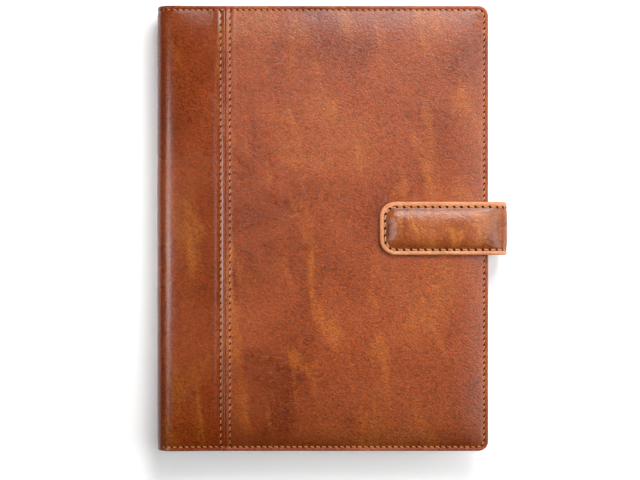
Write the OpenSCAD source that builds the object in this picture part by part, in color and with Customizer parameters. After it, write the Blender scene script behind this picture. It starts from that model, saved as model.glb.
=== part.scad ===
// Leather portfolio case with a four-ring mechanism and a snap strap.
// It lies closed on its back cover: X runs from the spine to the fore edge,
// Y along the spine, Z up. The origin is the middle of the back cover's outer face.

/* [Case] */
// Width of the closed case, from the spine to the fore edge
case_w = 250; // [225:1:320]
// Height of the case, along the spine
case_h = 335; // [325:1:420]
// Thickness of the closed case over both covers
case_t = 34; // [30:1:50]
// Radius of the two fore-edge corners
corner_r = 7.5; // [7:0.5:20]
// Outer radius of the spine where it turns into each cover
spine_r = 12; // [8:0.5:14]

/* [Cover layers] */
// Thickness of the outer leather
leather_t = 1.4; // [1:0.1:2]
// Thickness of the foam under the leather
foam_t = 1.0; // [0.6:0.1:2]
// Thickness of the board
board_t = 1.8; // [1.2:0.1:3]
// Thickness of the lining
lining_t = 0.8; // [0.6:0.1:1.5]
// Width of the flat stitched border outside the padded panel
border_w = 5.5; // [4.5:0.5:10]
// How far the border lies below the padded panel
border_drop = 1.2; // [0.4:0.1:1.4]
// Distance from the outside of the spine to the seam in each cover
seam_in = 52.3; // [46:0.1:80]

/* [Stitching] */
// Distance from the cover's edge to its stitch line
edge_stitch_in = 3.2; // [2:0.1:4]
// Distance from the seam to the stitch line on each side of it
seam_stitch_in = 3.45; // [2:0.05:6]
// Distance from the strap's edge to its stitch line
strap_stitch_in = 4; // [3:0.1:4.5]
// Width of the thread
thread_w = 0.7; // [0.4:0.1:1]
// Height of the thread above the bottom of its channel
thread_h = 0.35; // [0.2:0.05:0.5]

/* [Strap] */
// Width of the strap
strap_w = 40; // [30:1:60]
// Length of the strap over the front cover
strap_l = 82; // [60:1:110]
// How far the strap stands out beyond the fore edge
strap_out = 14.5; // [12:0.5:25]
// Outer radius of the two strap bends
strap_bend_r = 12; // [8:0.5:14]
// Radius of the corners at the strap's free end
strap_corner_r = 12; // [6:0.5:15]
// Thickness of the strap's outer leather
strap_leather_t = 1.6; // [1:0.1:2]
// Thickness of the strap's inner leather
strap_lining_t = 1.2; // [0.8:0.1:1.5]
// Thickness of the padding in the strap's free end
strap_pad_t = 1.4; // [0.6:0.1:3]
// Width of the flat rim round the strap's padding
strap_rim_w = 5.5; // [5:0.5:8]
// Gap between the front cover and the strap
strap_lift = 0.6; // [0.5:0.1:2]
// Depth of the strap's tongue in the back cover's edge
tongue_l = 6.4; // [5:0.1:6.8]
// Thickness of the strap's tongue
tongue_t = 1.6; // [1:0.1:1.6]

/* [Snap] */
// Distance from the fore edge to the snap's centre
snap_in = 60; // [40:1:64]
// Radius of the snap's post
post_r = 3; // [2:0.1:3.5]
// How far the post stands out of the strap
post_l = 2; // [1.5:0.1:2.2]
// Radius of the snap's flanges
snap_flange_r = 7; // [6:0.1:9]
// Thickness of the stud's flange
snap_flange_t = 0.6; // [0.4:0.1:0.8]
// How far the socket's flange stands above the front cover
socket_proud = 0.4; // [0.2:0.05:0.45]
// Radius of the socket's cup
cup_r = 5; // [4.5:0.1:5.5]
// Depth of the socket's cup below the cover's face
cup_l = 3.2; // [3:0.1:3.3]
// Radius and thickness of the magnet in the cup
magnet_r = 4.4; // [3:0.1:4.6]
magnet_t = 1; // [0.5:0.1:1]
// Radius of the washer behind the socket
washer_r = 8; // [6:0.1:10]
// Thickness of the washer behind the socket
washer_t = 0.8; // [0.4:0.1:0.9]

/* [Ring mechanism] */
// Number of rings
ring_count = 4; // [2:2:4]
// Distance between neighbouring rings
ring_pitch = 80; // [70:1:82]
// Distance from the outside of the spine to the rings' centre
ring_in = 28; // [26:0.5:32]
// Radius of the ring wire
wire_r = 1.2; // [0.9:0.1:1.5]
// Gap between the closed rings and the front cover
ring_head_gap = 2.3; // [2:0.1:4]
// How far each half ring tilts open, in degrees
ring_open = 18; // [10:1:18]
// Width of the arched plate over the rails
plate_w = 18; // [18:1:22]
// Height of the arched plate
plate_h = 5; // [5:0.5:6]
// Height of the plate's upright flanks
plate_flank = 2.2; // [2.2:0.1:3]
// Thickness of the plate's steel
plate_t = 0.8; // [0.6:0.1:1]
// Length of the plate beyond the end rings
plate_over = 14; // [14:0.5:16]
// Thickness of the two rails
rail_t = 0.8; // [0.6:0.1:1]
// Slope of the closed rails down to the middle, in degrees
rail_slope = 8.5; // [6:0.5:9]
// Radius of the pins that the levers turn on
lever_pin_r = 1; // [0.8:0.1:1.2]
// Radius of the rivets' shanks
rivet_r = 1.6; // [1.2:0.1:2]

/* [Pockets] */
// Thickness of the pockets' leather
pocket_t = 1.2; // [0.8:0.1:1.5]
// Space inside each pocket
pocket_gap = 1.2; // [0.8:0.1:1.5]
// Width of the sewn edge round each pocket
pocket_edge_w = 3; // [2:0.5:5]
// Height of the document pocket
document_h = 176; // [120:1:185]
// Height of the slip pocket in the back cover
slip_h = 150; // [100:1:185]
// Width of the card slots
card_w = 90; // [88:1:100]
// Depth of the shallowest card slot
card_h = 45; // [40:1:55]
// Step from one card slot to the next
card_step = 12; // [8:1:16]
// Thickness of the card slots' leather
card_t = 1; // [0.6:0.1:1.2]
// Space inside each card slot
card_gap = 0.6; // [0.4:0.1:1]

/* [Pen loop] */
// Radius of the pen loop's bore
pen_r = 6; // [4:0.5:7]
// Length of the pen loop along the pen
pen_l = 25; // [15:1:40]
// Thickness of the pen loop's leather
pen_t = 1; // [0.8:0.1:1.5]
// Distance from the middle of the case to the pen loop's near end
pen_up = 90; // [60:1:110]
// Distance from the fore edge to the pen's axis
pen_in = 20; // [16:1:30]

/* [Hidden] */
$fn = 96;
apart = 0.3;        // clearance between pieces that move past each other
snug = 0.05;        // clearance round fixed pieces in their holes
eps = 0.01;
bend_k = 1 - PI / 4; // distance of a right-angle bend's hinge line from its corner, per unit of radius

cover_t = leather_t + foam_t + board_t + lining_t;
core_t = foam_t + board_t;
half_h = case_h / 2;
spine_x = -case_w / 2;
fore_x = case_w / 2;
seam_x = spine_x + seam_in;

// Spine: its leather keeps its length when each bend turns about these lines
hinge_in = leather_t / 2 + bend_k * (spine_r - leather_t / 2);
cover_x = spine_x + hinge_in + norm([spine_r - hinge_in, hinge_in]) + apart;
core_x = cover_x + 2;
spine_flat = case_t - 2 * spine_r;

// Strap: its middle layer keeps its length in the same way
strap_t = strap_leather_t + strap_lining_t;
strap_mid_r = strap_bend_r - strap_t / 2;
bend_x = fore_x + strap_out - strap_bend_r;
root_z = border_drop;
tab_z = case_t + strap_lift;
strap_hinge = (1 - bend_k) * strap_mid_r;
low_hinge = [bend_x + strap_hinge, root_z + strap_bend_r - strap_hinge];
high_hinge = [bend_x + strap_hinge, tab_z + strap_t - strap_bend_r + strap_hinge];
strap_gap = norm([strap_hinge, strap_bend_r - strap_hinge]) - strap_hinge + apart;
tab_x = fore_x - strap_l;
snap_x = fore_x - snap_in;

// Rings: the lowest point of their centre line lies just above the lining
ring_x = spine_x + ring_in;
ring_low = cover_t + 0.5;
ring_high = case_t - cover_t - ring_head_gap - wire_r;
ring_r = (ring_high - ring_low) / 2;
ring_z = (ring_high + ring_low) / 2;
ring_first = -(ring_count - 1) / 2 * ring_pitch;
rings_y = [for (i = [0 : ring_count - 1]) ring_first + i * ring_pitch];
plate_l = (ring_count - 1) * ring_pitch + 2 * plate_over;
arch_rise = plate_h - plate_flank;
arch_r = (pow(plate_w / 2, 2) + pow(arch_rise, 2)) / (2 * arch_rise);
rail_out = plate_w / 2 - plate_t - 1.2;
rail_w = rail_out - 0.6;
rail_z = cover_t + 1.65;
rail_l = plate_l - 2;
foot_x = 0.37 * ring_r; // where a ring's foot meets its rail, from the rings' centre
foot_z = rail_z - (rail_out - foot_x) * sin(rail_slope) + rail_t / 2;
rivet_y = plate_l / 2 - 5;
rivet_head = [3.2, 1];
rivet_flange = [5, 0.8];
lever_y = plate_l / 2 + 3.5;
lever_z = cover_t + 2;
lever_w = plate_w - 2 * plate_t - 2 * apart;

// Colours
tan_leather = [0.65, 0.34, 0.21];
edge_leather = [0.76, 0.48, 0.34];
thread_tan = [0.72, 0.42, 0.26];
lining_brown = [0.36, 0.22, 0.15];
board_grey = [0.55, 0.52, 0.48];
foam_white = [0.85, 0.83, 0.78];
nickel = [0.75, 0.75, 0.76];

// Turns a cover's pieces, drawn from the outer face at z = 0 inwards, into the front cover
module as_front() {
    translate([0, 0, case_t]) mirror([0, 0, 1]) children();
}

// A cover's outline from x = left to the fore edge, moved in by inset on three sides
module cover_outline(left, inset) {
    r = max(corner_r - inset, 0.5);
    x = fore_x - inset;
    y = half_h - inset;
    translate([left, -y]) square([x - r - left, 2 * y]);
    translate([x - r - eps, -y + r]) square([r + eps, 2 * (y - r)]);
    for (s = [-1, 1]) translate([x - r, s * (y - r)]) circle(r);
}

// A stretch of cover leather from x = left to x = right: border, padded panel, room for the core
module cover_skin(left, right) {
    difference() {
        intersection() {
            union() {
                translate([0, 0, border_drop]) linear_extrude(cover_t - lining_t - border_drop)
                    cover_outline(cover_x, 0);
                linear_extrude(border_drop + eps) cover_outline(cover_x, border_w);
            }
            translate([left, -half_h - 1, -1]) cube([right - left, case_h + 2, cover_t + 2]);
        }
        translate([0, 0, leather_t]) linear_extrude(cover_t) cover_outline(cover_x - 1, border_w + leather_t);
        stitch_channels();
    }
}

// The channels that the threads of one cover lie in
module stitch_channels() {
    edge_stitches(snug);
    seam_stitches(snug);
}

// One cover's stitch line along its three open edges
module edge_stitches(grow) {
    translate([0, 0, border_drop - 1]) linear_extrude(1 + thread_h) difference() {
        cover_outline(cover_x + edge_stitch_in, edge_stitch_in - thread_w / 2 - grow);
        cover_outline(cover_x, edge_stitch_in + thread_w / 2 + grow);
    }
}

// One cover's two stitch lines beside its seam
module seam_stitches(grow) {
    w = thread_w + 2 * grow;
    y = half_h - border_w - 1;
    for (s = [-1, 1])
        translate([seam_x + s * seam_stitch_in - w / 2, -y - grow, -1])
            cube([w, 2 * (y + grow), 1 + thread_h]);
}

module cover_edge_thread() {
    intersection() {
        edge_stitches(0);
        translate([cover_x, -half_h, border_drop]) cube([case_w, case_h, 1]);
    }
}

module cover_seam_thread() {
    intersection() {
        seam_stitches(0);
        translate([spine_x, -half_h, 0]) cube([case_w, case_h, 1]);
    }
}

module cover_core(z, t) {
    translate([0, 0, z]) linear_extrude(t) cover_outline(core_x, border_w + leather_t);
}

module cover_lining() {
    translate([0, 0, cover_t - lining_t]) linear_extrude(lining_t) cover_outline(cover_x, 0);
}

// A pocket leaf on a cover's inner face: a panel with its sewn edge on three sides, open towards +Y
module pocket(x, y, w, h, panel_t, gap, lift) {
    translate([x, y, cover_t + lift]) difference() {
        cube([w, h, gap + panel_t]);
        translate([pocket_edge_w, pocket_edge_w, -1]) cube([w - 2 * pocket_edge_w, h, gap + 1]);
    }
}

// ---- Back cover ----

module back_leather() {
    color(tan_leather) difference() {
        cover_skin(seam_x, fore_x);
        translate([fore_x - tongue_l, -strap_w / 2, border_drop + leather_t])
            cube([tongue_l + 1, strap_w, cover_t]);
    }
}

module spine_leather_back() {
    color(tan_leather) cover_skin(cover_x, seam_x);
}

module back_padding() {
    color(foam_white) difference() {
        cover_core(leather_t, foam_t);
        rivet_holes(rivet_flange[0] + snug);
    }
}

module back_board() {
    color(board_grey) difference() {
        cover_core(leather_t + foam_t, board_t);
        rivet_holes(rivet_r + snug);
    }
}

module back_lining() {
    color(lining_brown) difference() {
        cover_lining();
        rivet_holes(rivet_r + snug);
    }
}

module back_edge_thread() { color(thread_tan) cover_edge_thread(); }

module back_seam_thread() { color(thread_tan) cover_seam_thread(); }

module slip_pocket() {
    x = seam_x + 2;
    color(tan_leather)
        pocket(x, -half_h + border_w, fore_x - pen_in - pen_r - 9 - x, slip_h, pocket_t, pocket_gap, 0);
}

module pen_loop() {
    r = pen_r + pen_t;
    color(tan_leather) translate([fore_x - pen_in, pen_up + pen_l, cover_t]) rotate([90, 0, 0])
        linear_extrude(pen_l) difference() {
            union() {
                translate([0, r]) circle(r);
                translate([-r - 2, 0]) square([2 * r + 4, pen_t]);
            }
            translate([0, r]) circle(pen_r);
        }
}

module rivet_holes(r) {
    for (s = [-1, 1]) translate([ring_x, s * rivet_y, leather_t]) cylinder(h = cover_t, r = r);
}

// ---- Ring mechanism ----

// The arched plate's section, made smaller all round by shrink
module arch(shrink) {
    intersection() {
        translate([0, plate_h - arch_r]) circle(arch_r - shrink);
        translate([-plate_w / 2 + shrink, -1]) square([plate_w - 2 * shrink, plate_h + 1]);
    }
}

module ring_plate() {
    ear_l = 5.5;
    color(nickel) translate([ring_x, 0, cover_t]) difference() {
        union() {
            rotate([90, 0, 0]) linear_extrude(plate_l, center = true) difference() {
                intersection() {
                    arch(0);
                    translate([-plate_w, 0]) square([2 * plate_w, plate_h]);
                }
                arch(plate_t);
            }
            for (s = [-1, 1], t = [-1, 1])
                translate([s * (plate_w - plate_t) / 2 - plate_t / 2, t * (plate_l / 2 + ear_l / 2 - 0.5)
                    - ear_l / 2 - 0.5, 0]) cube([plate_t, ear_l + 1, plate_h - 1]);
        }
        for (y = rings_y, s = [-1, 1])
            translate([s * (plate_w / 2 + 1) - (s > 0 ? plate_w / 2 - 1 : 0), y - wire_r - 0.4, 1.2])
                cube([plate_w / 2 - 1, 2 * wire_r + 0.8, plate_h]);
        for (s = [-1, 1]) translate([0, s * rivet_y, 1]) cylinder(h = plate_h, r = rivet_r + snug);
        for (s = [-1, 1])
            translate([0, s * lever_y, lever_z - cover_t]) rotate([0, 90, 0])
                cylinder(h = plate_w + 2, r = lever_pin_r + snug, center = true);
    }
}

module ring_rivets() {
    top = cover_t + plate_h;
    bottom = leather_t + foam_t - rivet_flange[1];
    color(nickel) for (s = [-1, 1]) translate([ring_x, s * rivet_y, 0]) {
        translate([0, 0, bottom]) cylinder(h = rivet_flange[1], r = rivet_flange[0]);
        translate([0, 0, bottom]) cylinder(h = top - bottom, r = rivet_r);
        translate([0, 0, top]) cylinder(h = rivet_head[1], r1 = rivet_head[0], r2 = rivet_head[0] * 0.7);
    }
}

module lever_pins() {
    color(nickel) for (s = [-1, 1])
        translate([ring_x, s * lever_y, lever_z]) rotate([0, 90, 0])
            cylinder(h = plate_w, r = lever_pin_r, center = true);
}

// One rail, hinged on its outer edge; side is -1 on the left
module rail(side) {
    pivot = [ring_x + side * rail_out, 0, rail_z];
    color(nickel) difference() {
        translate(pivot) rotate([0, side * rail_slope * -1, 0])
            translate([side > 0 ? -rail_w : 0, -rail_l / 2, -rail_t / 2]) cube([rail_w, rail_l, rail_t]);
        for (s = [-1, 1])
            translate([ring_x, s * rivet_y, 0]) cylinder(h = case_t, r = rivet_r + 1);
    }
}

// Half of each ring, from its tip over the side to its foot in the rail
module half_rings(side) {
    tip = asin(apart / 2 / ring_r);
    sweep = 90 + asin((ring_z - foot_z) / ring_r) - tip;
    color(nickel) for (y = rings_y) translate([ring_x, y, ring_z]) rotate([90, 0, 0])
        mirror([side > 0 ? 1 : 0, 0, 0]) rotate([0, 0, 90 + tip])
            rotate_extrude(angle = sweep) translate([ring_r, 0]) circle(wire_r);
}

module rail_left() { rail(-1); }
module half_rings_left() { half_rings(-1); }
module rail_right() { rail(1); }
module half_rings_right() { half_rings(1); }

// One opening lever: a hub on its pin, a short tongue towards the rails and a thumb tab that
// rises outwards steeply enough to clear the lining when it is pressed down
module lever(side) {
    tongue = [3, 1.2];
    tab = [[0.9, -1.4], [6, 2.2], [10, 6.2], [11.6, 9.5], [10.4, 10], [8.4, 7], [4.5, 3.4], [-0.6, 1.5]];
    color(nickel) translate([ring_x, side * lever_y, lever_z]) rotate([90, 0, side > 0 ? 90 : -90])
        linear_extrude(lever_w, center = true) difference() {
            union() {
                circle(lever_z - cover_t - apart);
                translate([-tongue[0], -tongue[1] / 2]) square(tongue);
                polygon(tab);
            }
            circle(lever_pin_r + snug);
        }
}

module lever_top() { lever(1); }
module lever_bottom() { lever(-1); }

// ---- Spine ----

// The C of the spine's section at a depth below its outer face, thick deep
module spine_section(depth, thick) {
    for (z = [spine_r, case_t - spine_r])
        intersection() {
            translate([spine_x + spine_r, z]) difference() {
                circle(spine_r - depth);
                circle(spine_r - depth - thick);
            }
            translate([spine_x - 1, z < case_t / 2 ? z - spine_r - 1 : z])
                square([spine_r + 1, spine_r + 1]);
        }
    translate([spine_x + depth, spine_r]) square([thick, spine_flat]);
}

module along_spine(l) {
    translate([0, l / 2, 0]) rotate([90, 0, 0]) linear_extrude(l) children();
}

module spine_leather() { color(tan_leather) along_spine(case_h) spine_section(0, leather_t); }

module spine_board() {
    color(board_grey) along_spine(case_h - 2 * border_w)
        translate([spine_x + leather_t, spine_r]) square([board_t, spine_flat]);
}

module spine_lining() {
    color(lining_brown) along_spine(case_h - 4)
        translate([spine_x + leather_t + board_t, spine_r - 4]) square([lining_t, spine_flat + 8]);
}

// ---- Front cover ----

module front_leather() {
    color(tan_leather) difference() {
        as_front() cover_skin(seam_x, fore_x);
        snap_hole(cup_r + snug, -1, cover_t);
    }
}

module spine_leather_front() { color(tan_leather) as_front() cover_skin(cover_x, seam_x); }

// A round hole for the snap, from z = from inwards, in the front cover
module snap_hole(r, from, depth) {
    as_front() translate([snap_x, 0, from]) cylinder(h = depth, r = r);
}

module front_padding() {
    color(foam_white) difference() {
        as_front() cover_core(leather_t, foam_t);
        snap_hole(cup_r + snug, 0, cover_t);
    }
}

module front_board() {
    color(board_grey) difference() {
        as_front() cover_core(leather_t + foam_t, board_t);
        snap_hole(cup_r + snug, 0, cover_t);
        snap_hole(washer_r + snug, cup_l, cover_t);
    }
}

module front_lining() { color(lining_brown) as_front() cover_lining(); }

module front_edge_thread() { color(thread_tan) as_front() cover_edge_thread(); }

module front_seam_thread() { color(thread_tan) as_front() cover_seam_thread(); }

module document_pocket() {
    x = seam_x + 2;
    color(tan_leather) as_front()
        pocket(x, -half_h + border_w, fore_x - border_w - x, document_h, pocket_t, pocket_gap, 0);
}

// Card slots lie on each other, all sewn along their lower edge, the deepest at the bottom
module card_slot(i) {
    h = card_h + (2 - i) * card_step;
    color(tan_leather) as_front()
        pocket(fore_x - 25 - card_w, -half_h + border_w + document_h + 15, card_w, h, card_t, card_gap,
            i * (card_t + card_gap));
}

module card_slot_1() { card_slot(0); }
module card_slot_2() { card_slot(1); }
module card_slot_3() { card_slot(2); }

module snap_socket() {
    color(nickel) as_front() translate([snap_x, 0, 0]) difference() {
        union() {
            translate([0, 0, -socket_proud]) cylinder(h = socket_proud, r = snap_flange_r);
            cylinder(h = cup_l, r = cup_r);
        }
        translate([0, 0, -1]) cylinder(h = 1 + cup_l - magnet_t - 0.3, r = post_r + apart);
        translate([0, 0, cup_l - magnet_t]) cylinder(h = magnet_t + 1, r = magnet_r + snug);
    }
}

module snap_magnet() {
    color(board_grey) as_front() translate([snap_x, 0, cup_l - magnet_t])
        cylinder(h = magnet_t, r = magnet_r);
}

module snap_washer() {
    color(nickel) as_front() translate([snap_x, 0, cup_l]) cylinder(h = washer_t, r = washer_r);
}

// ---- Strap ----

// The section of the strap's bow between two depths below its outer face
module bow_section(from, to) {
    z_low = root_z + strap_bend_r;
    z_high = tab_z + strap_t - strap_bend_r;
    for (z = [z_low, z_high])
        intersection() {
            translate([bend_x, z]) difference() {
                circle(strap_bend_r - from);
                circle(strap_bend_r - to);
            }
            translate([bend_x, z == z_low ? z - strap_bend_r - 1 : z])
                square([strap_bend_r + 1, strap_bend_r + 1]);
        }
    translate([bend_x + strap_bend_r - to, z_low]) square([to - from, z_high - z_low]);
}

module strap_root() {
    top = cover_t - lining_t;
    x = bend_x - strap_gap;
    color(tan_leather) {
        translate([fore_x - tongue_l, -strap_w / 2, top - tongue_t])
            cube([tongue_l + eps, strap_w, tongue_t]);
        translate([fore_x, -strap_w / 2, root_z]) cube([x - fore_x, strap_w, strap_t]);
    }
}

module strap_bow_leather() {
    color(tan_leather) along_spine(strap_w) bow_section(0, strap_leather_t);
}

module strap_bow_lining() {
    color(edge_leather) along_spine(strap_w) bow_section(strap_leather_t, strap_t);
}

module strap_bow_thread() {
    color(thread_tan) for (s = [-1, 1]) translate([0, s * (strap_w / 2 - strap_stitch_in), 0])
        along_spine(thread_w) bow_section(-thread_h, 0);
}

// The outline of the strap's free end, moved in by inset
module tab_outline(inset, right) {
    r = strap_corner_r - inset;
    x = tab_x + inset;
    y = strap_w / 2 - inset;
    translate([x + r, -y]) square([right - x - r, 2 * y]);
    translate([x, -y + r]) square([r + eps, 2 * (y - r)]);
    for (s = [-1, 1]) translate([x + r, s * (y - r)]) circle(r);
}

tab_right = bend_x - strap_gap;

module strap_tab_lining() {
    color(edge_leather) difference() {
        translate([0, 0, tab_z]) linear_extrude(strap_lining_t) tab_outline(0, tab_right);
        translate([snap_x, 0, tab_z - 1]) cylinder(h = 1 + snap_flange_t, r = snap_flange_r + snug);
    }
}

module strap_tab_padding() {
    color(foam_white) translate([0, 0, tab_z + strap_lining_t]) linear_extrude(strap_pad_t)
        tab_outline(strap_rim_w + strap_leather_t, tab_right - 2 * strap_leather_t);
}

module strap_tab_leather() {
    z = tab_z + strap_lining_t;
    color(tan_leather) difference() {
        union() {
            translate([0, 0, z]) linear_extrude(strap_leather_t) tab_outline(0, tab_right);
            translate([0, 0, z]) linear_extrude(strap_leather_t + strap_pad_t)
                tab_outline(strap_rim_w, tab_right - strap_leather_t);
        }
        translate([0, 0, z - 1]) linear_extrude(1 + strap_pad_t)
            tab_outline(strap_rim_w + strap_leather_t, tab_right - 2 * strap_leather_t);
    }
}

module strap_tab_thread() {
    color(thread_tan) translate([0, 0, tab_z + strap_t]) linear_extrude(thread_h) difference() {
        tab_outline(strap_stitch_in - thread_w / 2, tab_right);
        tab_outline(strap_stitch_in + thread_w / 2, tab_right + 1);
    }
}

module snap_stud() {
    color(nickel) translate([snap_x, 0, tab_z]) {
        cylinder(h = snap_flange_t, r = snap_flange_r);
        translate([0, 0, -post_l]) cylinder(h = post_l + eps, r = post_r);
    }
}

back_leather();
spine_leather_back();
back_padding();
back_board();
back_lining();
back_edge_thread();
back_seam_thread();
slip_pocket();
pen_loop();
strap_root();
ring_plate();
ring_rivets();
lever_pins();
spine_leather();
spine_board();
spine_lining();
front_leather();
spine_leather_front();
front_padding();
front_board();
front_lining();
front_edge_thread();
front_seam_thread();
document_pocket();
card_slot_1();
card_slot_2();
card_slot_3();
snap_socket();
snap_magnet();
snap_washer();
strap_bow_leather();
strap_bow_lining();
strap_bow_thread();
strap_tab_leather();
strap_tab_padding();
strap_tab_lining();
strap_tab_thread();
snap_stud();
rail_left();
half_rings_left();
rail_right();
half_rings_right();
lever_top();
lever_bottom();
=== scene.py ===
import math

import bmesh
import bpy
from mathutils import Matrix, Vector, noise


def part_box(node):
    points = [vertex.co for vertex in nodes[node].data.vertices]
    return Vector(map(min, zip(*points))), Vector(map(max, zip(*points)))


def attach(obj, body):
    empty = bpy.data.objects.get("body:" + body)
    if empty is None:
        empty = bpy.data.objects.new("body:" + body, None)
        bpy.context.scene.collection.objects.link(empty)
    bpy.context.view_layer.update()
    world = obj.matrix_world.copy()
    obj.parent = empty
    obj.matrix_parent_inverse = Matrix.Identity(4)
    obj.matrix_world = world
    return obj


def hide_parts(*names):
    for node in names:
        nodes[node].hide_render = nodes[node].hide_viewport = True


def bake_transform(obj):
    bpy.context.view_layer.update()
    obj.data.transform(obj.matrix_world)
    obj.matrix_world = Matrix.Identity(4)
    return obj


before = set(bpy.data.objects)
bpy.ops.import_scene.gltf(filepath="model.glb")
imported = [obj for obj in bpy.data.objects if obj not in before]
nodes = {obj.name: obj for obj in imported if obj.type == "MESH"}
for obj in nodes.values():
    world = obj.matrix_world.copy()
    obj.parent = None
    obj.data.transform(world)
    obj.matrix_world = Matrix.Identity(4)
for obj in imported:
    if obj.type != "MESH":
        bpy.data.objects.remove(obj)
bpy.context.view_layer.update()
mm = 0.001
scene = bpy.context.scene
scene.view_settings.view_transform = "Standard"


def low(name):
    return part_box(name)[0]


def high(name):
    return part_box(name)[1]


# places that the pieces share, all read from the frame
spineX = low("spine_leather").x
spineR = high("spine_leather").x - spineX
foreX = high("front_leather").x
seamX = low("front_leather").x
halfH = high("front_leather").y
topZ = high("front_leather").z
tangentX = spineX + spineR  # the spine's rounding starts here
bendLength = spineR * math.pi / 2
boardTop = high("front_board").z - topZ
midSpine = tangentX - bendLength - (topZ / 2 - spineR)  # unrolled place of the spine's middle


# what a maker would change on the covers
cover = {
    "cornerR": 7.5 * mm,
    "finerBy": 12 * mm,  # the mesh is finer this near to an edge
    "rimR": 1.0 * mm,  # rounding of the turned edge
    "leatherDeep": topZ - high("front_lining").z,  # leather, foam and board together
    "liningDeep": topZ - low("front_lining").z,
    "skin": 1.4 * mm,
    "drop": 2.3 * mm,  # how far the stitched border lies below the padded panel
    "padFrom": 4.1 * mm,
    "padTo": 34 * mm,
    "turnIn": 5.9 * mm,  # width of the turned-in, full-depth border
    "stitchIn": 3.2 * mm,
    "stitchPitch": 4.5 * mm,
    "stitchDeep": 0.34 * mm,
    "stitchWide": 1.15 * mm,
    "seamR": 0.65 * mm,
    "seamStitchIn": 3.45 * mm,
    "seamPitch": 5.1 * mm,
    "seamDeep": 0.38 * mm,
    "seamWide": 1.3 * mm,
    "seamFold": 0.3 * mm,  # the seam allowance lifts the leather beside the seam
    "easing": 0.5 * mm,  # how much flatter the bend of the spine starts
    "easingIn": 2.5 * mm,
    "easingWide": 5 * mm,
    "wave": 0.16 * mm,  # slow unevenness of the padded panel
    "waveLong": 45 * mm,
    "ripple": 0.03 * mm,
    "rippleLong": 9 * mm,
    "shadeAround": 0.12,  # how much painted shade darkens the low border round the padding
    "shadeFoot": 0.5,  # and the painted shade at the foot, which faces away from the light
    "shadeAbove": 0.3,  # and from the foot upwards, over the reach
    "shadeReach": 85 * mm,
    "step": 1.5 * mm,
}


def smooth(start, stop, value):
    t = min(max((value - start) / (stop - start), 0.0), 1.0)
    return t * t * (3 - 2 * t)


def swell(start, stop, value, power=2.8):
    # rises steeply from start and levels out at stop, like leather over soft foam
    t = min(max((value - start) / (stop - start), 0.0), 1.0)
    return 1 - (1 - t) ** power


def bell(value, width):
    return math.exp(-((value / width) ** 2))


def rounded(distance, radius):
    # how far a quarter-round edge lies below the face
    if distance >= radius:
        return 0.0
    return radius - math.sqrt(max(radius ** 2 - (radius - distance) ** 2, 0.0))


def edgeDistance(dx, dy, radius):
    if dx < radius and dy < radius:
        return radius - math.hypot(radius - dx, radius - dy)
    return min(dx, dy)


def roundCorner(dx, dy, radius):
    # bends a square corner of the grid round to a quarter circle
    if dx >= radius or dy >= radius:
        return dx, dy
    a, b = 1 - dx / radius, 1 - dy / radius
    return (radius * (1 - a * math.sqrt(1 - b * b / 2)), radius * (1 - b * math.sqrt(1 - a * a / 2)))


def edgeLines(count=16):
    # distances from an edge, closer together near it
    return [cover["finerBy"] * (k / count) ** 1.6 for k in range(count + 1)]


def middleLines(start, stop, step):
    first, last = math.ceil(start / step), math.floor(stop / step)
    return [k * step for k in range(first, last + 1) if start + step / 4 < k * step < stop - step / 4]


def coverHeight(x, y, side):
    # height of a cover's outer face above its flat middle; x runs on round the spine, unrolled
    c = cover
    dx, dy = foreX - x, halfH - abs(y)
    edge = edgeDistance(dx, dy, c["cornerR"])
    pad = swell(c["padFrom"], c["padTo"], dx) * swell(c["padFrom"], c["padTo"], dy)
    seam = abs(x - seamX)
    # there is no foam in the bend of the spine, so the border hardly drops there
    drop = c["drop"] * (0.15 + 0.85 * smooth(tangentX - 8 * mm, seamX - 6 * mm, x))
    height = -drop * (1 - pad) - rounded(edge, c["rimR"]) - rounded(seam, c["seamR"])
    height -= c["stitchDeep"] * bell(edge - c["stitchIn"], c["stitchWide"])
    height -= c["seamDeep"] * bell(seam - c["seamStitchIn"], c["seamWide"])
    # the bend starts gently beside the stiffener
    height -= c["easing"] * bell(x - tangentX + c["easingIn"], c["easingWide"])
    fold = smooth(4.5 * mm, 9 * mm, seam) * smooth(tangentX - 4 * mm, tangentX + 8 * mm, x)
    height -= c["seamFold"] * fold
    spot = Vector((x, y, side * 0.3))
    height -= c["wave"] * (0.5 + 0.5 * noise.noise(spot / c["waveLong"])) * pad
    return height - c["ripple"] * (0.5 + 0.5 * noise.noise(spot / c["rippleLong"])) * pad


def coverPoint(x, y, height, side):
    # side 1 is the front cover and 0 the back one; past tangentX the face turns round the spine
    if x >= tangentX:
        z = topZ + height
    elif x > tangentX - bendLength:
        a = (tangentX - x) / spineR
        x, z = (tangentX - (spineR + height) * math.sin(a), topZ - spineR + (spineR + height) * math.cos(a))
    else:
        x, z = spineX - height, topZ - spineR - (tangentX - bendLength - x)
    return Vector((x, y, z if side else topZ - z))


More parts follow.
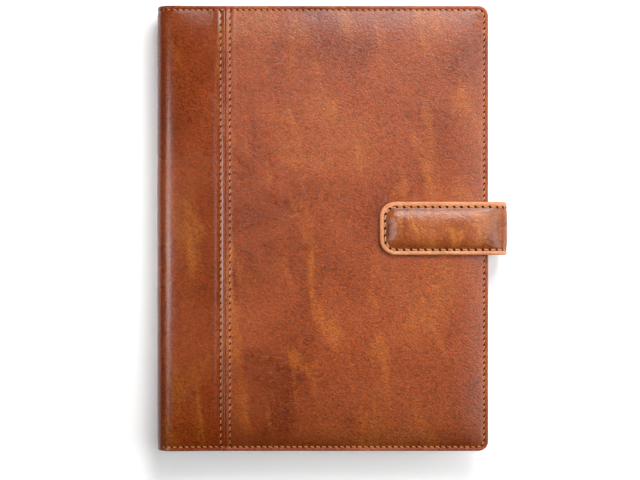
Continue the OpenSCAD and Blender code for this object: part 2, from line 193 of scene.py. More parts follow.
def sheetPiece(name, across, along, place, outer, inner, materials, edgeMaterial=0, isRim=None, paintedShade=None):
    # a closed sheet: one grid shaped as its outer face, its copy as its inner face, and the edge between
    bm = bmesh.new()
    # a per-vertex value for painted shade, by which the leather's colour is darkened
    painted_shade = bm.verts.layers.float.new("painted_shade")
    bmesh.ops.create_grid(bm, x_segments=len(across) - 1, y_segments=len(along) - 1, size=0.5)
    u, w = (bm.verts.layers.float.new(label) for label in ("across", "along"))
    for v in bm.verts:
        v[u] = across[round((v.co.x + 0.5) * (len(across) - 1))]
        v[w] = along[round((v.co.y + 0.5) * (len(along) - 1))]
    made = bmesh.ops.extrude_face_region(
        bm, geom=bm.verts[:] + bm.edges[:] + bm.faces[:], use_keep_orig=True)["geom"]
    under = {v for v in made if isinstance(v, bmesh.types.BMVert)}
    for f in bm.faces:
        f.smooth = True
        centre = [sum(v[layer] for v in f.verts) / len(f.verts) for layer in (u, w)]
        if 0 < sum(v in under for v in f.verts) < len(f.verts) or isRim and isRim(*centre):
            f.material_index = edgeMaterial
    for v in bm.verts:
        shape = inner if v in under else outer
        v.co = place(v[u], v[w], shape(v[u], v[w]))
        if paintedShade:
            v[painted_shade] = paintedShade(v[u], v[w])
    bmesh.ops.recalc_face_normals(bm, faces=bm.faces)
    return meshPiece(name, bm, materials)


def meshPiece(name, bm, materials, sharp=50):
    mesh = bpy.data.meshes.new(name)
    bm.to_mesh(mesh)
    bm.free()
    mesh.set_sharp_from_angle(angle=math.radians(sharp))
    for m in materials:
        mesh.materials.append(m)
    piece = bpy.data.objects.new(name, mesh)
    scene.collection.objects.link(piece)
    return piece


def colour(code):
    def linear(v):
        return v / 12.92 if v <= 0.04045 else ((v + 0.055) / 1.055) ** 2.4
    return (*(linear(int(code[i:i + 2], 16) / 255) for i in (1, 3, 5)), 1.0)


def addNode(tree, kind, settings=None, links=None):
    made = tree.nodes.new(kind)
    for key, value in (settings or {}).items():
        if isinstance(key, str) and hasattr(made, key):
            setattr(made, key, value)
        else:
            made.inputs[key].default_value = value
    for key, source in (links or {}).items():
        tree.links.new(source, made.inputs[key])
    return made


def newMaterial(name, shaderSettings):
    material = bpy.data.materials.new(name)
    material.use_nodes = True
    tree = material.node_tree
    tree.nodes.clear()
    shader = addNode(tree, "ShaderNodeBsdfPrincipled", shaderSettings)
    addNode(tree, "ShaderNodeOutputMaterial", None, {"Surface": shader.outputs[0]})
    place = addNode(tree, "ShaderNodeTexCoord").outputs["Object"]
    return material, tree, shader, place


def colourRamp(tree, source, stops):
    ramp = addNode(tree, "ShaderNodeValToRGB", None, {0: source})
    while len(ramp.color_ramp.elements) < len(stops):
        ramp.color_ramp.elements.new(0.5)
    for element, (at, code) in zip(ramp.color_ramp.elements, stops):
        element.position = at
        element.color = colour(code)
    return ramp.outputs[0]


def leather(name, tones, streakCode, roughness, grain, grainDeep, patch, paintedGrainShade=1.0, wrinkleDeep=0.4 * mm):
    # vegetable-tanned, waxed pull-up cowhide: a fine creased grain under a soft wax shine, with painted shade
    # in the creases and painted highlights on the ridges, cloudy from patch to patch, with long soft streaks
    # where the wax has been pulled
    material, tree, shader, place = newMaterial(name, {
        "Roughness": roughness, "Specular IOR Level": 0.46})
    clouds = addNode(tree, "ShaderNodeTexNoise", {"Scale": 1 / patch, "Detail": 4, "Roughness": 0.5,
        "Distortion": 0.4}, {"Vector": place})
    tone = colourRamp(tree, clouds.outputs[0], tones)
    longWays = addNode(tree, "ShaderNodeMapping", {"vector_type": "TEXTURE", "Rotation": (0, 0, 0.14),
        "Scale": (1, 3.6, 1)}, {"Vector": place})
    streaks = addNode(tree, "ShaderNodeTexNoise", {"Scale": 3.4 / patch, "Detail": 3, "Roughness": 0.5,
        "Distortion": 0.5}, {"Vector": longWays.outputs[0]})
    pulled = addNode(tree, "ShaderNodeMapRange", {"interpolation_type": "SMOOTHSTEP", "From Min": 0.5,
        "From Max": 0.74, "To Max": 0.8}, {"Value": streaks.outputs[0]})
    hide = addNode(tree, "ShaderNodeMix", {"data_type": "RGBA", 7: colour(streakCode)},
        {0: pulled.outputs[0], 6: tone})
    # the grain: short wavy ridges over small cells, both bent about by a coarser noise
    warp = addNode(tree, "ShaderNodeTexNoise", {"Scale": 0.13 / grain, "Detail": 2}, {"Vector": place})
    bent = addNode(tree, "ShaderNodeVectorMath", {"operation": "MULTIPLY_ADD",
        1: (grain * 4,) * 3}, {0: warp.outputs["Color"], 2: place})
    drawn = addNode(tree, "ShaderNodeMapping", {"vector_type": "TEXTURE", "Rotation": (0, 0, -0.4),
        "Scale": (2.7, 1, 1)}, {"Vector": bent.outputs[0]})
    ridges = addNode(tree, "ShaderNodeTexNoise", {"Scale": 1.05 / grain, "Detail": 4, "Roughness": 0.62},
        {"Vector": drawn.outputs[0]})
    squeezed = addNode(tree, "ShaderNodeMapping", {"vector_type": "TEXTURE", "Rotation": (0, 0, -0.3),
        "Scale": (1.8, 1, 1)}, {"Vector": bent.outputs[0]})
    pebbles = addNode(tree, "ShaderNodeTexVoronoi", {"feature": "DISTANCE_TO_EDGE", "Scale": 1 / grain},
        {"Vector": squeezed.outputs[0]})
    crease = addNode(tree, "ShaderNodeMapRange", {"interpolation_type": "SMOOTHSTEP", "From Max": 0.25},
        {"Value": pebbles.outputs["Distance"]})
    # painted shade: the creases are darkened in colour, on top of their bump
    shade = addNode(tree, "ShaderNodeMapRange", {"To Min": 1 - 0.3 * paintedGrainShade,
        "To Max": 1.06}, {"Value": crease.outputs[0]})
    # painted highlight and shade on the grain: the colour is lighter on the ridges and darker between them
    grainLightAndShade = addNode(tree, "ShaderNodeMapRange", {"From Min": 0.34, "From Max": 0.66,
        "To Min": 1 - 0.28 * paintedGrainShade, "To Max": 1 + 0.28 * paintedGrainShade}, {"Value": ridges.outputs[0]})
    # painted shade: the per-vertex value darkens the colour by up to half
    shadeDarkening = addNode(tree, "ShaderNodeMapRange", {"To Min": 1.0, "To Max": 0.5},
        {"Value": addNode(tree, "ShaderNodeAttribute", {"attribute_name": "painted_shade"}).outputs["Fac"]})
    both = addNode(tree, "ShaderNodeMath", {"operation": "MULTIPLY"},
        {0: shade.outputs[0], 1: grainLightAndShade.outputs[0]})
    both = addNode(tree, "ShaderNodeMath", {"operation": "MULTIPLY"},
        {0: both.outputs[0], 1: shadeDarkening.outputs[0]})
    toned = addNode(tree, "ShaderNodeMix", {"data_type": "RGBA", "blend_type": "MULTIPLY", 0: 1.0},
        {6: hide.outputs[2], 7: both.outputs[0]})
    tree.links.new(toned.outputs[2], shader.inputs["Base Color"])
    shine = addNode(tree, "ShaderNodeMapRange", {"From Min": 0.3, "From Max": 0.7,
        "To Min": roughness - 0.05, "To Max": roughness + 0.07}, {"Value": clouds.outputs[0]})
    tree.links.new(shine.outputs[0], shader.inputs["Roughness"])
    # soft wrinkles about 8 mm apart, the same on every leather
    folds = addNode(tree, "ShaderNodeTexNoise", {"Scale": 0.13 / mm, "Detail": 3, "Roughness": 0.6,
        "Distortion": 1.2}, {"Vector": place})
    wrinkles = addNode(tree, "ShaderNodeBump", {"Strength": 0.5, "Distance": wrinkleDeep},
        {"Height": folds.outputs[0]})
    fine = addNode(tree, "ShaderNodeBump", {"Strength": 0.9, "Distance": grainDeep * 6},
        {"Height": ridges.outputs[0], "Normal": wrinkles.outputs[0]})
    relief = addNode(tree, "ShaderNodeBump", {"Strength": 0.8, "Distance": grainDeep},
        {"Height": crease.outputs[0], "Normal": fine.outputs[0]})
    tree.links.new(relief.outputs[0], shader.inputs["Normal"])
    return material


def cloth(name, warpCode, weftCode, thread):
    # cotton twill: two tones of thread in slanting ribs, matt; the ribs are drawn at twice their
    # real width so that they show
    material, tree, shader, place = newMaterial(name, {"Roughness": 0.85, "Sheen Weight": 0.25})
    ribs = addNode(tree, "ShaderNodeTexWave", {"bands_direction": "DIAGONAL", "Scale": 0.35 / thread,
        "Distortion": 0.6, "Detail": 1}, {"Vector": place})
    tree.links.new(colourRamp(tree, ribs.outputs[0], [(0.25, warpCode), (0.75, weftCode)]),
        shader.inputs["Base Color"])
    relief = addNode(tree, "ShaderNodeBump", {"Strength": 0.4, "Distance": thread * 0.4},
        {"Height": ribs.outputs[0]})
    tree.links.new(relief.outputs[0], shader.inputs["Normal"])
    return material


def plain(name, codes, settings, scale, relief):
    # a plain finish with its small variation of colour and surface
    material, tree, shader, place = newMaterial(name, settings)
    grit = addNode(tree, "ShaderNodeTexNoise", {"Scale": scale, "Detail": 4}, {"Vector": place})
    tree.links.new(colourRamp(tree, grit.outputs[0], [(0.3, codes[0]), (0.7, codes[1])]),
        shader.inputs["Base Color"])
    bump = addNode(tree, "ShaderNodeBump", {"Strength": 0.3, "Distance": relief}, {"Height": grit.outputs[0]})
    tree.links.new(bump.outputs[0], shader.inputs["Normal"])
    return material


coverTones = [(0.30, "#7C310A"), (0.46, "#8F3D0E"), (0.58, "#994310"), (0.72, "#A14F14")]
spineTones = [(0.30, "#752F0B"), (0.5, "#86370D"), (0.72, "#924111")]
strapTones = [(0.30, "#7E3A14"), (0.5, "#974C20"), (0.72, "#AA5F2C")]
innerTones = [(0.3, "#7E4422"), (0.7, "#97552E")]
edgeTones = [(0.3, "#BE7448"), (0.7, "#D08C60")]
waxedLeather = leather("waxed_tan_leather", coverTones, "#B05C18", roughness=0.3, grain=1.15 * mm,
    grainDeep=0.045 * mm, patch=60 * mm, paintedGrainShade=1.25)
spineLeather = leather("spine_tan_leather", spineTones, "#9E5616", roughness=0.25, grain=1.15 * mm,
    grainDeep=0.014 * mm, patch=60 * mm, paintedGrainShade=1.3, wrinkleDeep=0.1 * mm)
strapLeather = leather("strap_tan_leather", strapTones, "#B0642A", roughness=0.29, grain=1.8 * mm,
    grainDeep=0.04 * mm, patch=24 * mm, paintedGrainShade=0.7, wrinkleDeep=0.8 * mm)
edgeLeather = leather("burnished_leather_edge", edgeTones, "#D29468", roughness=0.42, grain=1.5 * mm,
    grainDeep=0.02 * mm, patch=16 * mm, paintedGrainShade=0.3)
innerLeather = leather("smooth_inner_leather", innerTones, "#A06636", roughness=0.5, grain=1.6 * mm,
    grainDeep=0.02 * mm, patch=45 * mm, paintedGrainShade=0.5)
# bonded polyester sewing thread, slightly glossy
thread = plain("tan_sewing_thread", ("#B87440", "#CC8E5A"), {"Roughness": 0.55}, 2500, 0.05 * mm)
# the shadow inside a needle hole
holeShadow = plain("needle_hole_shadow", ("#2E1208", "#3C190C"), {"Roughness": 0.95, "Specular IOR Level": 0.05},
    2000, 0.02 * mm)
twill = cloth("brown_twill", "#4A3020", "#6A4930", 0.5 * mm)
# nickel-plated spring steel, bright with faint polishing marks
nickel = plain("nickel_plate", ("#BDBAB4", "#CBC8C2"), {"Metallic": 1.0, "Roughness": 0.22}, 900, 0.004 * mm)
foamRubber = plain("grey_foam", ("#B9B6AE", "#CFCCC4"), {"Roughness": 0.95}, 1200, 0.2 * mm)
greyBoard = plain("grey_board", ("#8A8174", "#9C9285"), {"Roughness": 0.9}, 1500, 0.05 * mm)
magnetBlack = plain("sintered_magnet", ("#2A2A2C", "#38383A"), {"Roughness": 0.6, "Metallic": 0.6}, 900,
    0.01 * mm)
print("materials made")


yLines = sorted({s * (halfH - d) for d in edgeLines() for s in (-1, 1)}
    | set(middleLines(-halfH + cover["finerBy"], halfH - cover["finerBy"], cover["step"])))


def coverPlace(side):
    def place(x, y, height):
        dx, dy = roundCorner(foreX - x, halfH - abs(y), cover["cornerR"])
        return coverPoint(foreX - dx, math.copysign(halfH - dy, y), height, side)
    return place


def coverOuter(side):
    def outer(x, y):
        dx, dy = roundCorner(foreX - x, halfH - abs(y), cover["cornerR"])
        return coverHeight(foreX - dx, math.copysign(halfH - dy, y), side)
    return outer


def coverInner(side):
    # the leather is turned in to its full depth along the edges; between them it is one skin thick,
    # and skived thinner where it comes down to the board
    def inner(x, y):
        if min(foreX - x, halfH - abs(y)) < cover["turnIn"]:
            return -cover["leatherDeep"]
        return max(coverHeight(x, y, side) - cover["skin"], boardTop + 0.05 * mm)
    return inner


def coverPaintedShade(x, y):
    # how much painted shade darkens the colour: a little where the padding starts, just inside the stitches
    c = cover
    dx, dy = roundCorner(foreX - x, halfH - abs(y), c["cornerR"])
    risen = swell(c["padFrom"], c["padTo"], dy)
    pad = swell(c["padFrom"], c["padTo"], dx) * risen
    around = c["shadeAround"] * (1 - pad) * smooth(3 * mm, 6 * mm, edgeDistance(dx, dy, c["cornerR"]))
    if y > 0:
        return around
    # painted shade: the foot, which faces away from the light, is darker than the rest, fading upwards over
    # the reach
    foot = c["shadeFoot"] * (1 - risen) + c["shadeAbove"] * (1 - smooth(5 * mm, c["shadeReach"], dy))
    return around + foot * smooth(2.5 * mm, 6 * mm, dy) * (1 if x > seamX else 0.5)


def makeCover(name, side, body, stoodFor):
    across = [seamX + d for d in edgeLines()]
    across += middleLines(seamX + cover["finerBy"], foreX - cover["finerBy"], cover["step"])
    across += [foreX - d for d in reversed(edgeLines())]
    piece = sheetPiece(name, across, yLines, coverPlace(side), coverOuter(side), coverInner(side),
        [waxedLeather], paintedShade=coverPaintedShade)
    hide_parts(stoodFor)
    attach(piece, body)
    return piece


def makeSpineHalf(name, side, stoodFor):
    # from the seam round to the middle of the spine
    across = [seamX - d for d in edgeLines()]
    start = seamX - cover["finerBy"]
    reach = start - midSpine
    count = round(reach / cover["step"])
    across += [start - reach * (k + 1) / count for k in range(count)]
    piece = sheetPiece(name, across, yLines, coverPlace(side), coverOuter(side), coverInner(side),
        [spineLeather], paintedShade=coverPaintedShade)
    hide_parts(*stoodFor)
    bendAtSpine(piece)
    return piece


def bendAtSpine(piece):
    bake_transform(piece)


def makeLining(name, side, stoodFor):
    # one cloth from the fore edge to the middle of the spine
    reach = foreX - midSpine
    count = round(reach / (3 * mm))
    across = [foreX - reach * k / count for k in range(count + 1)]
    rows = round(2 * halfH / (3 * mm))
    along = [-halfH + 2 * halfH * k / rows for k in range(rows + 1)]

    def outer(x, y):
        return -cover["liningDeep"] + 0.1 * mm * (1 + noise.noise(Vector((x, y, 2 + side)) / 0.02))

    piece = sheetPiece(name, across, along, coverPlace(side), outer, lambda x, y: -cover["leatherDeep"],
        [twill])
    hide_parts(*stoodFor)
    bendAtSpine(piece)
    return piece


def makeFoam(name, side, body, stoodFor):
    # the foam fills whatever the leather leaves above the board
    lowest, highest = low(stoodFor), high(stoodFor)

    def outer(x, y):
        return max(coverInner(side)(x, y) - 0.01 * mm, boardTop + 0.03 * mm)

    across = [lowest.x] + middleLines(lowest.x, highest.x, 3 * mm) + [highest.x]
    along = [lowest.y] + middleLines(lowest.y, highest.y, 3 * mm) + [highest.y]
    piece = sheetPiece(name, across, along, lambda x, y, height: coverPoint(x, y, height, side), outer,
        lambda x, y: boardTop + 0.01 * mm, [foamRubber])
    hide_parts(stoodFor)
    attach(piece, body)


makeCover("front_cover_leather", 1, "front_cover", "front_leather")
makeCover("back_cover_leather", 0, "back_cover", "back_leather")
makeSpineHalf("spine_leather_upper", 1, ["spine_leather_front", "spine_leather"])
makeSpineHalf("spine_leather_lower", 0, ["spine_leather_back"])
makeFoam("front_foam", 1, "front_cover", "front_padding")
makeFoam("back_foam", 0, "back_cover", "back_padding")
makeLining("front_lining_cloth", 1, ["front_lining", "spine_lining"])
makeLining("back_lining_cloth", 0, ["back_lining"])
print("covers made")


# the needle's slots slant across the row, and the thread dives into them
coverThread = {"thick": 0.62 * mm, "share": 0.62, "sunk": 0.4, "slot": (1.2 * mm, 0.52 * mm), "slant": -42,
    "lean": -9}
strapThread = {"thick": 0.9 * mm, "share": 0.62, "sunk": 0.15, "slot": (1.45 * mm, 0.95 * mm), "slant": -48,
    "lean": -9}
pocketThread = {"thick": 0.5 * mm, "share": 0.72, "sunk": 0.2, "slot": (0.7 * mm, 0.35 * mm), "slant": -30,
    "lean": -6, "pitch": 3.2 * mm, "inset": 2.4 * mm}
slotLift = 0.14 * mm  # keeps a slot's painted-shadow disc clear of the leather under it


def stitchShape(length, thick, sunk):
    # one stitch: a short arch of thread whose ends dive into the leather
    rise = 0.5 * thick
    radius = ((length / 2) ** 2 + rise ** 2) / (2 * rise)
    half = math.asin(min(length / 2 / radius, 1))
    bm = bmesh.new()
    ring = bmesh.ops.create_circle(bm, segments=6, radius=thick / 2, cap_ends=False)["verts"]
    bmesh.ops.rotate(bm, verts=ring, matrix=Matrix.Rotation(math.pi / 2, 3, "Y"))
    bmesh.ops.translate(bm, verts=ring, vec=(0, 0, radius))
    bmesh.ops.rotate(bm, verts=ring, matrix=Matrix.Rotation(-half, 3, "Y"))
    bmesh.ops.spin(bm, geom=bm.verts[:] + bm.edges[:], cent=(0, 0, 0), axis=(0, 1, 0), angle=2 * half,
        steps=6, use_merge=False)
    bmesh.ops.translate(bm, verts=bm.verts, vec=(0, 0, rise - radius - sunk * thick))
    bmesh.ops.holes_fill(bm, edges=[e for e in bm.edges if e.is_boundary])
    bmesh.ops.recalc_face_normals(bm, faces=bm.faces)
    shape = bpy.data.meshes.new("stitch")
    bm.to_mesh(shape)
    bm.free()
    return shape


def facing(along, up):
    x = along.normalized()
    y = up.cross(x).normalized()
    return Matrix((x, y, x.cross(y))).transposed()


def stitchPiece(name, runs, pitch, make, stoodFor=()):
    # runs are lists of (place, outward direction) at every needle hole
    shape = stitchShape(pitch * make["share"], make["thick"], make["sunk"])
    bm = bmesh.new()
    for holes in runs:
        for k, (at, up) in enumerate(holes):
            if k + 1 < len(holes):
                other, otherUp = holes[k + 1]
                turn = facing(other - at, (up + otherUp) / 2)
                turn = turn @ Matrix.Rotation(math.radians(make["lean"]), 3, "Z")
                before = set(bm.verts)
                bm.from_mesh(shape)
                fresh = [v for v in bm.verts if v not in before]
                bmesh.ops.transform(bm, verts=fresh, matrix=Matrix.Translation((at + other) / 2)
                    @ turn.to_4x4())
            ahead = holes[k + 1][0] - at if k + 1 < len(holes) else at - holes[k - 1][0]
            turn = facing(ahead, up) @ Matrix.Rotation(math.radians(make["slant"]), 3, "Z")
            turn = turn @ Matrix.Diagonal((*make["slot"], 1))
            # each needle slot is a flat dark disc: painted shadow of the hole
            disc = bmesh.ops.create_circle(bm, segments=10, radius=1, cap_ends=True,
                matrix=Matrix.Translation(at + up * slotLift) @ turn.to_4x4())
            for f in {f for v in disc["verts"] for f in v.link_faces}:
                f.material_index = 1
    for f in bm.faces:
        f.smooth = f.material_index == 0
    piece = meshPiece(name, bm, [thread, holeShadow])
    if stoodFor:
        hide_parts(*stoodFor)
    return piece


def holesOn(point, spots):
    found = []
    for x, y in spots:
        at = point(x, y, 0)
        found.append((at, (point(x, y, mm) - at).normalized()))
    return found


def coverSurface(side):
    def point(x, y, above):
        return coverPoint(x, y, coverHeight(x, y, side) + above, side)
    return point


def edgeSpots():
    # needle holes along the three open edges of a cover, from the spine's tangent and back to it
    c = cover
    r = c["cornerR"] - c["stitchIn"]
    runX, arc, runY = foreX - c["cornerR"] - tangentX, r * math.pi / 2, 2 * (halfH - c["cornerR"])
    total = 2 * runX + 2 * arc + runY
    count = round(total / c["stitchPitch"])
    spots = []
    for k in range(count + 1):
        t = total * k / count
        flip = t > total / 2
        t = total - t if flip else t
        if t < runX:
            x, y = tangentX + t, -halfH + c["stitchIn"]
        elif t < runX + arc:
            a = (t - runX) / r
            x, y = foreX - c["cornerR"] + r * math.sin(a), -halfH + c["cornerR"] - r * math.cos(a)
        else:
            x, y = foreX - c["stitchIn"], -halfH + c["cornerR"] + t - runX - arc
        spots.append((x, -y if flip else y))
    return spots


def rowSpots(length, pitch):
    count = round(length / pitch)
    return [-length / 2 + length * k / count for k in range(count + 1)]


for side, body in ((1, "front_cover"), (0, "back_cover")):
    label = "front" if side else "back"
    point = coverSurface(side)
    edge = stitchPiece(label + "_edge_stitches", [holesOn(point, edgeSpots())], cover["stitchPitch"],
        coverThread, [label + "_edge_thread"])
    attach(edge, body)
    rows = [[(seamX + s * cover["seamStitchIn"], y) for y in rowSpots(2 * halfH - 9 * mm, cover["seamPitch"])]
        for s in (-1, 1)]
    seam = stitchPiece(label + "_seam_stitches", [holesOn(point, r) for r in rows], cover["seamPitch"],
        coverThread, [label + "_seam_thread"])
    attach(seam, body)
    reach = tangentX - midSpine
    turns = [[(tangentX - reach / 2 + d, s * (halfH - cover["stitchIn"]))
        for d in rowSpots(reach, cover["stitchPitch"])] for s in (-1, 1)]
    spine = stitchPiece("spine_stitches_" + label, [holesOn(point, r) for r in turns], cover["stitchPitch"],
        coverThread)
    bendAtSpine(spine)
print("cover stitches made")


strap = {
    "half": high("strap_tab_leather").y,
    "freeX": low("strap_tab_leather").x,
    "outX": high("strap_bow_leather").x,
    "bottomZ": low("strap_bow_leather").z,
    "topZ": high("strap_bow_leather").z,
    "bendR": 12 * mm,
    "cornerR": 12 * mm,
    "leatherT": 1.6 * mm,
    "wholeT": 2.8 * mm,
    "rimR": 1.3 * mm,
    "padFrom": 5.0 * mm,
    "padTo": 19.5 * mm,
    "padEnd": 13 * mm,  # the padding rises faster at the free end
    "padHigh": 3.0 * mm,
    "padPast": 5 * mm,  # how far the padding reaches into the bend
    "padTail": 24 * mm,  # over which it thins out there
    "ridge": 0.2,  # height beyond the padding, where the folded leather is stiff
    "ridgeIn": 10 * mm,
    "unevenness": 0.08 * mm,
    "paintedShade": 0.6,  # how much painted shade darkens the strap round the foot of the padding
    "rimWide": 3.2 * mm,
    "stitchIn": 4.0 * mm,
    "stitchPitch": 5.35 * mm,
    "stitchDeep": 0.35 * mm,
    "stitchWide": 1.4 * mm,
    "tongueX": low("strap_root").x,
    "tongueBare": 6 * mm,
    "step": 1.2 * mm,
}
strap["bendX"] = strap["outX"] - strap["bendR"]
flatLength = strap["bendX"] - strap["freeX"]
strapBend = strap["bendR"] * math.pi / 2
bowLength = strap["topZ"] - strap["bottomZ"] - 2 * strap["bendR"]
halfWay = flatLength + strapBend + bowLength / 2
strapLength = 2 * halfWay - flatLength + strap["bendX"] - strap["tongueX"]


def strapPoint(s, y, height):
    # s runs from the free end, over the upper bend, down the bow and under to the tongue
    r = strap["bendR"]
    if s < flatLength:
        return Vector((strap["freeX"] + s, y, strap["topZ"] + height))
    s -= flatLength
    if s < strapBend:
        a = s / r
        return Vector((strap["bendX"] + (r + height) * math.sin(a), y,
            strap["topZ"] - r + (r + height) * math.cos(a)))
    s -= strapBend
    if s < bowLength:
        return Vector((strap["outX"] + height, y, strap["topZ"] - r - s))
    s -= bowLength
    if s < strapBend:
        a = s / r
        return Vector((strap["bendX"] + (r + height) * math.cos(a), y,
            strap["bottomZ"] + r - (r + height) * math.sin(a)))
    return Vector((strap["bendX"] - (s - strapBend), y, strap["bottomZ"] - height))


def strapCorner(s, y):
    ds, dy = roundCorner(s, strap["half"] - abs(y), strap["cornerR"])
    return ds, math.copysign(strap["half"] - dy, y)


def strapPlace(s, y, height):
    return strapPoint(*strapCorner(s, y), height)


def strapPad(s, y):
    c = strap
    dy = c["half"] - abs(y)
    edge = edgeDistance(s, dy, c["cornerR"])
    soft = swell(c["padFrom"], c["padEnd"], s) * swell(c["padFrom"], c["padTo"], dy)
    soft = min(soft, swell(c["padFrom"], c["padTo"], edge))
    return soft * swell(0, c["padTail"], flatLength + c["padPast"] - s, 2)


def strapPaintedShade(s, y):
    # painted shade round the foot of the padding, fading out past the bend
    c = strap
    s, y = strapCorner(s, y)
    edge = edgeDistance(s, c["half"] - abs(y), c["cornerR"])
    past = smooth(flatLength, flatLength + c["padPast"] + 4 * mm, s)
    return c["paintedShade"] * (1 - strapPad(s, y)) * smooth(3.4 * mm, 5.5 * mm, edge) * (1 - 0.8 * past)


def strapHeight(s, y):
    c = strap
    dy = c["half"] - abs(y)
    edge = edgeDistance(s, dy, c["cornerR"])
    past = s - flatLength - c["padPast"]
    lowerBend = halfWay + bowLength / 2
    soft = strapPad(s, y)
    # a low ridge is left between the padding and the tongue
    soft += c["ridge"] * smooth(0, c["ridgeIn"], past) * swell(c["padFrom"], c["padTo"], dy) * (
        1 - smooth(lowerBend, lowerBend + strapBend, s))
    height = c["padHigh"] * soft - rounded(edge, c["rimR"])
    height -= c["stitchDeep"] * bell(edge - c["stitchIn"], c["stitchWide"])
    return height + c["unevenness"] * noise.noise(Vector((s, y, 5)) / 0.012) * soft


def strapOuter(s, y):
    return strapHeight(*strapCorner(s, y))


def strapLines(start, stop):
    near = edgeLines(14) if start == 0 else [0]
    reach = stop - start - near[-1]
    count = round(reach / strap["step"])
    return [start + d for d in near] + [start + near[-1] + reach * (k + 1) / count for k in range(count)]


strapMiddle = strap["half"] - cover["finerBy"]
strapAcross = sorted({s * (strap["half"] - d) for d in edgeLines(14) for s in (-1, 1)}
    | set(middleLines(-strapMiddle, strapMiddle, strap["step"])))


def bendAtStrap(piece, upper):
    if upper:
        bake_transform(piece)
    else:
        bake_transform(piece)


def makeStrap(name, start, stop, outer, inner, materials, stoodFor, upper):
    def isRim(s, y):
        return edgeDistance(s, strap["half"] - abs(y), strap["cornerR"]) < strap["rimWide"]

    piece = sheetPiece(name, strapLines(start, stop), strapAcross, strapPlace, outer, inner, materials, 1,
        isRim, strapPaintedShade)
    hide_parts(*stoodFor)
    bendAtStrap(piece, upper)
    return piece


def leatherUnder(s, y):
    return -strap["leatherT"]


def liningUnder(s, y):
    edge = edgeDistance(s, strap["half"] - abs(y), strap["cornerR"])
    return -strap["wholeT"] + rounded(edge, 0.7 * mm)


upperLeather = makeStrap("strap_leather_upper", 0, halfWay, strapOuter, leatherUnder,
    [strapLeather, edgeLeather], ["strap_tab_leather", "strap_tab_padding"], True)
makeStrap("strap_leather_lower", halfWay, strapLength, strapOuter, leatherUnder,
    [strapLeather, edgeLeather], ["strap_bow_leather", "strap_root"], False)
makeStrap("strap_lining_upper", 0, halfWay, leatherUnder, liningUnder,
    [innerLeather, edgeLeather], ["strap_tab_lining"], True)
# the lining stops short of the tongue's end, so that only leather is sewn into the cover
makeStrap("strap_lining_lower", halfWay, strapLength - strap["tongueBare"], leatherUnder, liningUnder,
    [innerLeather, edgeLeather], ["strap_bow_lining"], False)


def strapSpots():
    # needle holes round the free end and along both edges to the middle of the bow
    c = strap
    r = c["cornerR"] - c["stitchIn"]
    run, arc, end = halfWay - c["cornerR"], r * math.pi / 2, 2 * (c["half"] - c["cornerR"])
    total = 2 * run + 2 * arc + end
    count = round(total / c["stitchPitch"])
    spots = []
    for k in range(count + 1):
        t = total * k / count
        flip = t > total / 2
        t = total - t if flip else t
        if t < run:
            s, y = halfWay - t, c["half"] - c["stitchIn"]
        elif t < run + arc:
            a = (t - run) / r
            s, y = c["cornerR"] - r * math.sin(a), c["half"] - c["cornerR"] + r * math.cos(a)
        else:
            s, y = c["stitchIn"], c["half"] - c["cornerR"] - (t - run - arc)
        spots.append((s, -y if flip else y))
    return spots


def strapSurface(s, y, above):
    return strapPoint(s, y, strapHeight(s, y) + above)


upperStitches = stitchPiece("strap_stitches_upper", [holesOn(strapSurface, strapSpots())],
    strap["stitchPitch"], strapThread, ["strap_tab_thread"])
bendAtStrap(upperStitches, True)
lowerReach = bowLength / 2 + strapBend
lowerRows = [[(halfWay + lowerReach / 2 + d, s * (strap["half"] - strap["stitchIn"]))
    for d in rowSpots(lowerReach, strap["stitchPitch"])] for s in (-1, 1)]
lowerStitches = stitchPiece("strap_stitches_lower", [holesOn(strapSurface, r) for r in lowerRows],
    strap["stitchPitch"], strapThread, ["strap_bow_thread"])
bendAtStrap(lowerStitches, False)
print("strap made")


pockets = {
    "slip_pocket": "back_cover", "document_pocket": "front_cover",
    "card_slot_1": "front_cover", "card_slot_2": "front_cover", "card_slot_3": "front_cover",
}
for name, body in pockets.items():
    lowest, highest, inset = low(name), high(name), pocketThread["inset"]
    up = 1 if body == "back_cover" else -1
    faceZ = highest.z if up > 0 else lowest.z
    left, right, foot = lowest.x + inset, highest.x - inset, lowest.y + inset
    top = highest.y - inset
    seam = [Vector((x, y, faceZ)) for x, y in ((left, top), (left, foot), (right, foot), (right, top))]
    holes = []
    for start, stop in zip(seam, seam[1:]):
        count = max(round((stop - start).length / pocketThread["pitch"]), 1)
        holes += [(start.lerp(stop, k / count), Vector((0, 0, up))) for k in range(count)]
    holes.append((seam[-1], Vector((0, 0, up))))
    piece = stitchPiece(name + "_stitches", [holes], pocketThread["pitch"], pocketThread)
    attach(piece, body)
print("pocket stitches made")


finishes = {
    "ring_plate": nickel, "ring_rivets": nickel, "lever_pins": nickel, "snap_socket": nickel,
    "snap_washer": nickel, "snap_stud": nickel, "rail_left": nickel, "half_rings_left": nickel,
    "rail_right": nickel, "half_rings_right": nickel, "lever_top": nickel, "lever_bottom": nickel,
    "back_board": greyBoard, "front_board": greyBoard, "spine_board": greyBoard, "snap_magnet": magnetBlack,
    "slip_pocket": innerLeather, "pen_loop": innerLeather, "document_pocket": innerLeather,
    "card_slot_1": innerLeather, "card_slot_2": innerLeather, "card_slot_3": innerLeather,
}
for name, material in finishes.items():
    nodes[name].data.materials.clear()
    nodes[name].data.materials.append(material)
print("carried-over pieces finished")


bm = bmesh.new()
bmesh.ops.create_grid(bm, x_segments=1, y_segments=1, size=3)
bmesh.ops.translate(bm, verts=bm.verts, vec=(0, 0, -0.1 * mm))
# white acrylic, lit a little from below
acrylic = plain("white_floor", ("#F4F4F4", "#F6F6F6"), {"Roughness": 0.9, "Specular IOR Level": 0.1,
    "Emission Color": (1, 1, 1, 1), "Emission Strength": 0.22}, 3, 0)
floor = meshPiece("floor", bm, [acrylic])


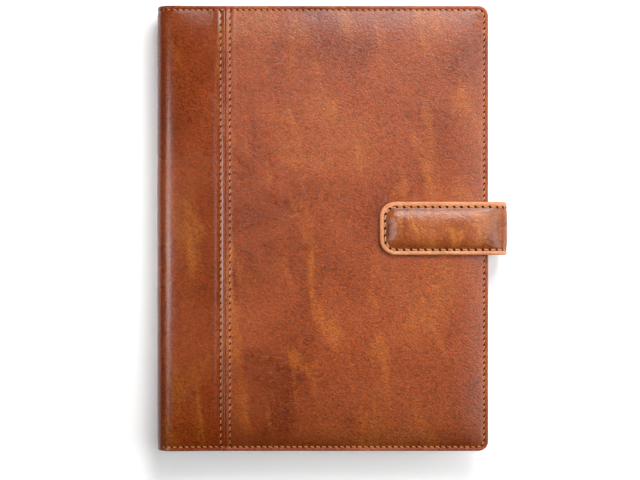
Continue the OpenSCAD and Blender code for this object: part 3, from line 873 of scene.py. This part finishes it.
def softLight(name, place, size, power, aim=(0, 0, 0), spread=180):
    lamp = bpy.data.lights.new(name, "AREA")
    lamp.spread = math.radians(spread)
    lamp.shape = "RECTANGLE"
    lamp.size, lamp.size_y = size
    lamp.energy = power
    light = bpy.data.objects.new(name, lamp)
    light.location = place
    light.rotation_mode = "QUATERNION"
    light.rotation_quaternion = (Vector(aim) - Vector(place)).to_track_quat("-Z", "Y")
    scene.collection.objects.link(light)


softLight("key_softbox", (0.27, 0.79, 0.94), (0.5, 0.6), 14.2)
softLight("side_softbox", (0.88, 0.05, 0.88), (0.9, 1.0), 11)
# a strip behind a honeycomb grid, which lights the spine and little else
softLight("spine_strip", (-0.69, 0.0, 1.1), (0.24, 0.9), 0.33, (spineX, 0, topZ), 28)
# the studio is dark overhead, behind the camera, and brightest low down on the key light's side
world = bpy.data.worlds.new("studio")
scene.world = world
world.use_nodes = True
sky = world.node_tree
around = addNode(sky, "ShaderNodeTexCoord").outputs["Generated"]
up = addNode(sky, "ShaderNodeSeparateXYZ", None, {0: around})
keyWard = addNode(sky, "ShaderNodeVectorMath", {"operation": "DOT_PRODUCT", 1: (0.65, 0.76, 0)}, {0: around})
glow = addNode(sky, "ShaderNodeMapRange", {"interpolation_type": "SMOOTHSTEP", "From Min": 0.95,
    "From Max": 0.35, "To Min": 0.06, "To Max": 0.9}, {"Value": up.outputs["Z"]})
bySide = addNode(sky, "ShaderNodeMapRange", {"From Min": -1, "To Min": 0.06, "To Max": 0.36},
    {"Value": keyWard.outputs["Value"]})
strength = addNode(sky, "ShaderNodeMath", {"operation": "MULTIPLY"},
    {0: glow.outputs[0], 1: bySide.outputs[0]})
sky.links.new(strength.outputs[0], sky.nodes["Background"].inputs["Strength"])
sky.nodes["Background"].inputs["Color"].default_value = (1, 1, 1, 1)

view = {"x": -1.6 * mm, "y": -8.7 * mm, "above": 1095 * mm, "lens": 82.1}
cameraData = bpy.data.cameras.new("camera")
cameraData.lens = view["lens"]
cameraData.sensor_width = 36
camera = bpy.data.objects.new("camera", cameraData)
camera.location = (view["x"], view["y"], topZ + view["above"])
scene.collection.objects.link(camera)
scene.camera = camera

print("scene ready")
